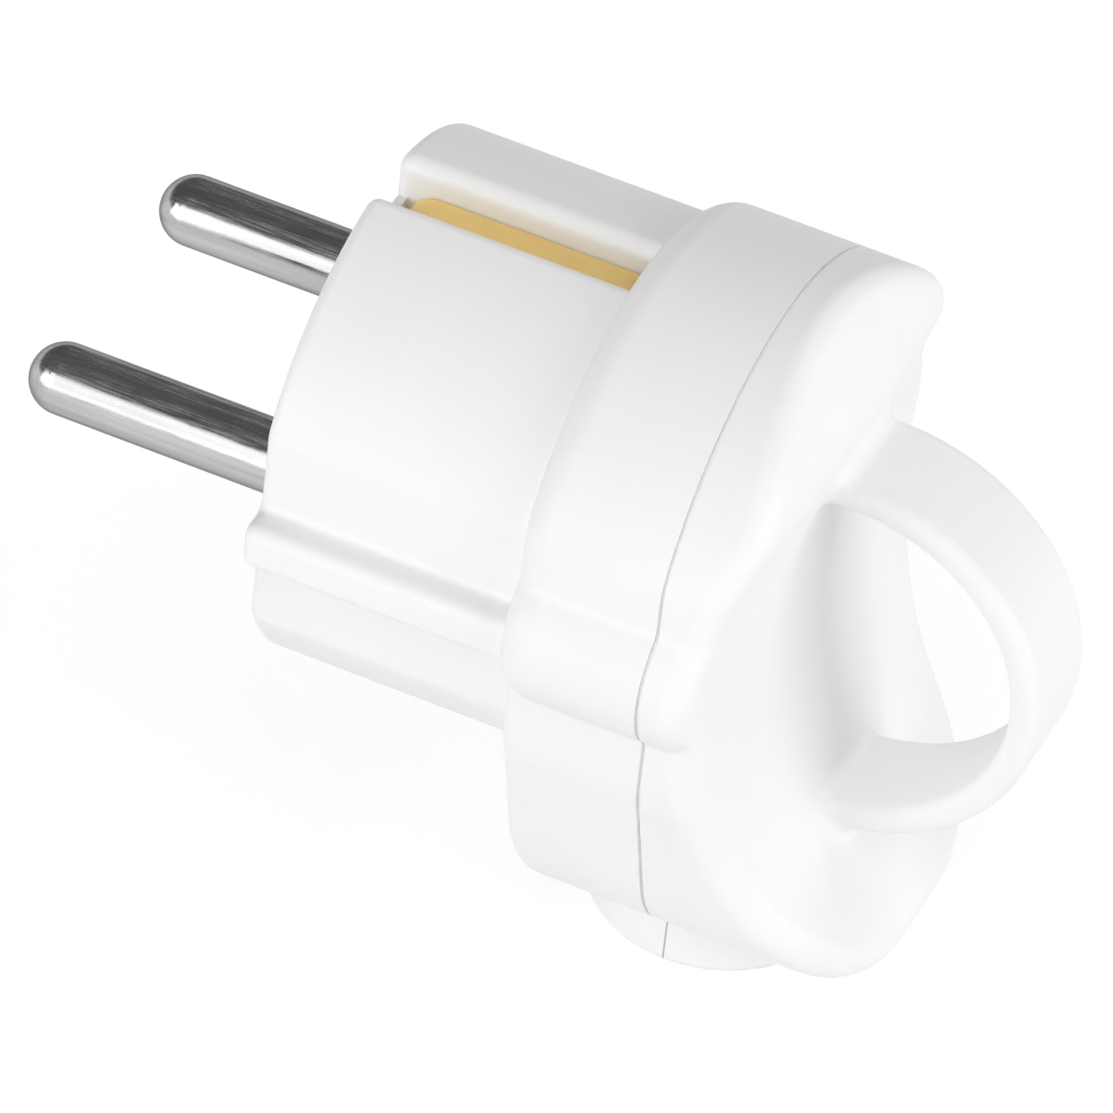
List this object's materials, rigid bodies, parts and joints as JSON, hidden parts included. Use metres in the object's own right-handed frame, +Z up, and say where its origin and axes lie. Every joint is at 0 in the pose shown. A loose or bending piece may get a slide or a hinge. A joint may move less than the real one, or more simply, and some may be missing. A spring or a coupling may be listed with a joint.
{
  "type": "electrical plug",
  "caption": "White angled mains plug with round pins, side earth contacts, a downward cord outlet and a finger ring on its rear cover for pulling it out.",
  "frame": {"origin": "centre of the engagement face, midway between the two contact pins", "axes": "+Y the way the pins point, +X along the line of the pins, +Z up, away from the cord outlet"},
  "size_m": [0.0388, 0.0682, 0.05],
  "materials": {
    "white_plastic": "satin white moulded thermoplastic",
    "clamp_plastic": "plain moulded thermoplastic",
    "nickel": "polished nickel plating with fine drawing marks",
    "brass": "bare pressed brass",
    "screw_steel": "zinc-plated steel"
  },
  "bodies": {
    "root": {"front_housing": "white_plastic", "rear_cover": "white_plastic", "live_pin": "nickel", "neutral_pin": "nickel", "earth_strap": "brass", "earth_socket": "brass", "live_terminal_screw": "screw_steel", "neutral_terminal_screw": "screw_steel", "earth_terminal_screw": "screw_steel", "earth_clamp_washer": "screw_steel", "cover_screw": "screw_steel", "cord_clamp_bar": "clamp_plastic", "cord_clamp_screw_left": "screw_steel", "cord_clamp_screw_right": "screw_steel"}
  },
  "joints": []
}
